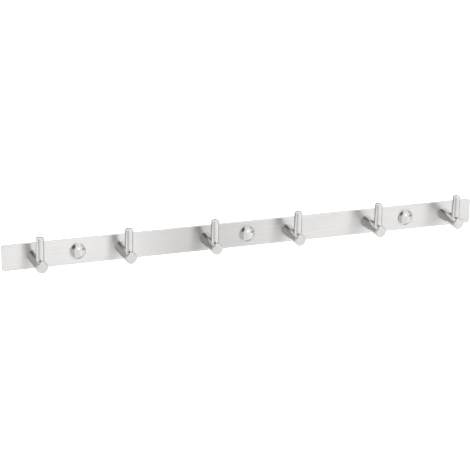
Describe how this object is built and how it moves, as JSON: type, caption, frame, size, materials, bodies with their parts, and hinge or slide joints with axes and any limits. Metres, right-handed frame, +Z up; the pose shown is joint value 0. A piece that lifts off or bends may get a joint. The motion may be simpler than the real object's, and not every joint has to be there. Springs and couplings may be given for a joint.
{
  "type": "wall hook rack",
  "caption": "Long narrow steel wall strip with round horizontal bars, each carrying an upright peg, and domed caps over its wall screws.",
  "frame": {"origin": "centre of the strip's back face, on the wall", "axes": "+X along the strip, to the right as the user faces it; +Y into the wall; +Z up, the way the pegs point"},
  "size_m": [0.6, 0.08, 0.05],
  "materials": {
    "brushed_plate": "brushed along its length",
    "satin_bar": "satin, turned",
    "satin_peg": "satin, turned, polished tip",
    "polished_cap": "polished",
    "turned_ring": "turned, threaded",
    "plain_screw": "plain",
    "zinc_screw": "bright zinc plated"
  },
  "bodies": {
    "rack": {"backplate": "brushed_plate", "hook_bar_1": "satin_bar", "hook_bar_2": "satin_bar", "hook_bar_3": "satin_bar", "hook_bar_4": "satin_bar", "hook_bar_5": "satin_bar", "hook_bar_6": "satin_bar", "hook_peg_1": "satin_peg", "hook_peg_2": "satin_peg", "hook_peg_3": "satin_peg", "hook_peg_4": "satin_peg", "hook_peg_5": "satin_peg", "hook_peg_6": "satin_peg", "hook_screw_1": "plain_screw", "hook_screw_2": "plain_screw", "hook_screw_3": "plain_screw", "hook_screw_4": "plain_screw", "hook_screw_5": "plain_screw", "hook_screw_6": "plain_screw", "wall_screw_1": "zinc_screw", "wall_screw_2": "zinc_screw", "wall_screw_3": "zinc_screw", "cap_ring_1": "turned_ring", "cap_ring_2": "turned_ring", "cap_ring_3": "turned_ring"},
    "cap_1": {"screw_cap_1": "polished_cap"},
    "cap_2": {"screw_cap_2": "polished_cap"},
    "cap_3": {"screw_cap_3": "polished_cap"}
  },
  "joints": [
    {"name": "cap_1_off", "type": "slide", "parent": "rack", "child": "cap_1", "axis": [0, -1, 0], "range_m": [0, 0.012]},
    {"name": "cap_2_off", "type": "slide", "parent": "rack", "child": "cap_2", "axis": [0, -1, 0], "range_m": [0, 0.012]},
    {"name": "cap_3_off", "type": "slide", "parent": "rack", "child": "cap_3", "axis": [0, -1, 0], "range_m": [0, 0.012]}
  ]
}
